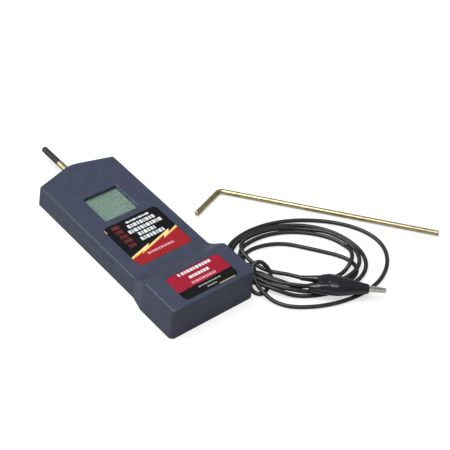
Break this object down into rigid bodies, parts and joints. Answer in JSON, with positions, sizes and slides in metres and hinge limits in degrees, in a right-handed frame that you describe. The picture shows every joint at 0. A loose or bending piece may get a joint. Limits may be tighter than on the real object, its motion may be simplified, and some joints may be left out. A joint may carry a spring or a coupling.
{
  "type": "handheld electric fence tester",
  "caption": "Handheld digital fence voltmeter: tapered case with LCD, contact prong, coiled clip lead and L-bent ground rod.",
  "frame": {"origin": "centre of the flat back face that the case lies on, midway along the case", "axes": "+Z out of the display, +Y along the case towards the contact prong, +X to the side that the ground lead leaves"},
  "size_m": [0.2306, 0.2536, 0.0252],
  "materials": {
    "case_plastic": "fine moulded texture, satin",
    "clear_window": "clear, glossy",
    "lcd": "grey-green, satin",
    "label_print": "printed film, satin",
    "brass": "bright drawn",
    "black_plastic": "satin",
    "cord_black": "satin flexible jacket",
    "vinyl_black": "glossy soft vinyl",
    "nickel": "nickel plated",
    "steel": "zinc plated",
    "board_green": "solder mask",
    "chip_black": "matte",
    "resistor_body": "lacquered",
    "capacitor_can": "sleeved",
    "trimmer_blue": "moulded",
    "holder_white": "moulded",
    "zebra_rubber": "soft",
    "battery_shell": "wrapped steel can",
    "foam": "open foam",
    "wire_red": "flexible jacket",
    "wire_black": "flexible jacket"
  },
  "bodies": {
    "tester": {"front_case": "case_plastic", "back_cover": "case_plastic", "case_screws": "steel", "display_window": "clear_window", "lcd_glass": "lcd", "lcd_holder": "holder_white", "zebra_strip_front": "zebra_rubber", "zebra_strip_back": "zebra_rubber", "front_label": "label_print", "battery_label": "label_print", "circuit_board": "board_green", "board_screws": "steel", "meter_chip": "chip_black", "divider_resistors": "resistor_body", "filter_capacitors": "capacitor_can", "calibration_trimmer": "trimmer_blue", "contact_prong": "brass", "prong_sleeve": "black_plastic", "prong_nut": "brass", "prong_lug": "nickel", "prong_wire": "wire_red", "battery": "battery_shell", "battery_snap": "black_plastic", "battery_wire_red": "wire_red", "battery_wire_black": "wire_black", "battery_foam": "foam", "lead_grommet": "black_plastic", "lead_inner_end": "cord_black", "lead_start": "cord_black", "lead_coil": "cord_black", "lead_end": "cord_black", "clip_fixed_jaw": "nickel", "clip_pin": "nickel", "clip_spring": "steel", "clip_boot": "vinyl_black"},
    "battery_door": {"battery_door": "case_plastic"},
    "clip_jaw": {"clip_moving_jaw": "nickel"},
    "ground_rod": {"ground_rod": "brass"}
  },
  "joints": [
    {"name": "battery_door_hinge", "type": "hinge", "parent": "tester", "child": "battery_door", "pos_m": [0, -0.0797, 0], "axis": [-1, 0, 0], "range_deg": [0, 75]},
    {"name": "clip_jaw_hinge", "type": "hinge", "parent": "tester", "child": "clip_jaw", "pos_m": [0.08747, -0.11507, 0.0085], "axis": [0, 0, -1], "range_deg": [0, 14], "stiffness_Nm_per_rad": 0.12, "springref_deg": -34.38, "deforming": ["clip_boot", "clip_spring"]},
    {"name": "ground_rod_lift", "type": "slide", "parent": "tester", "child": "ground_rod", "axis": [0, 0, 1], "range_m": [0, 0.05]}
  ]
}
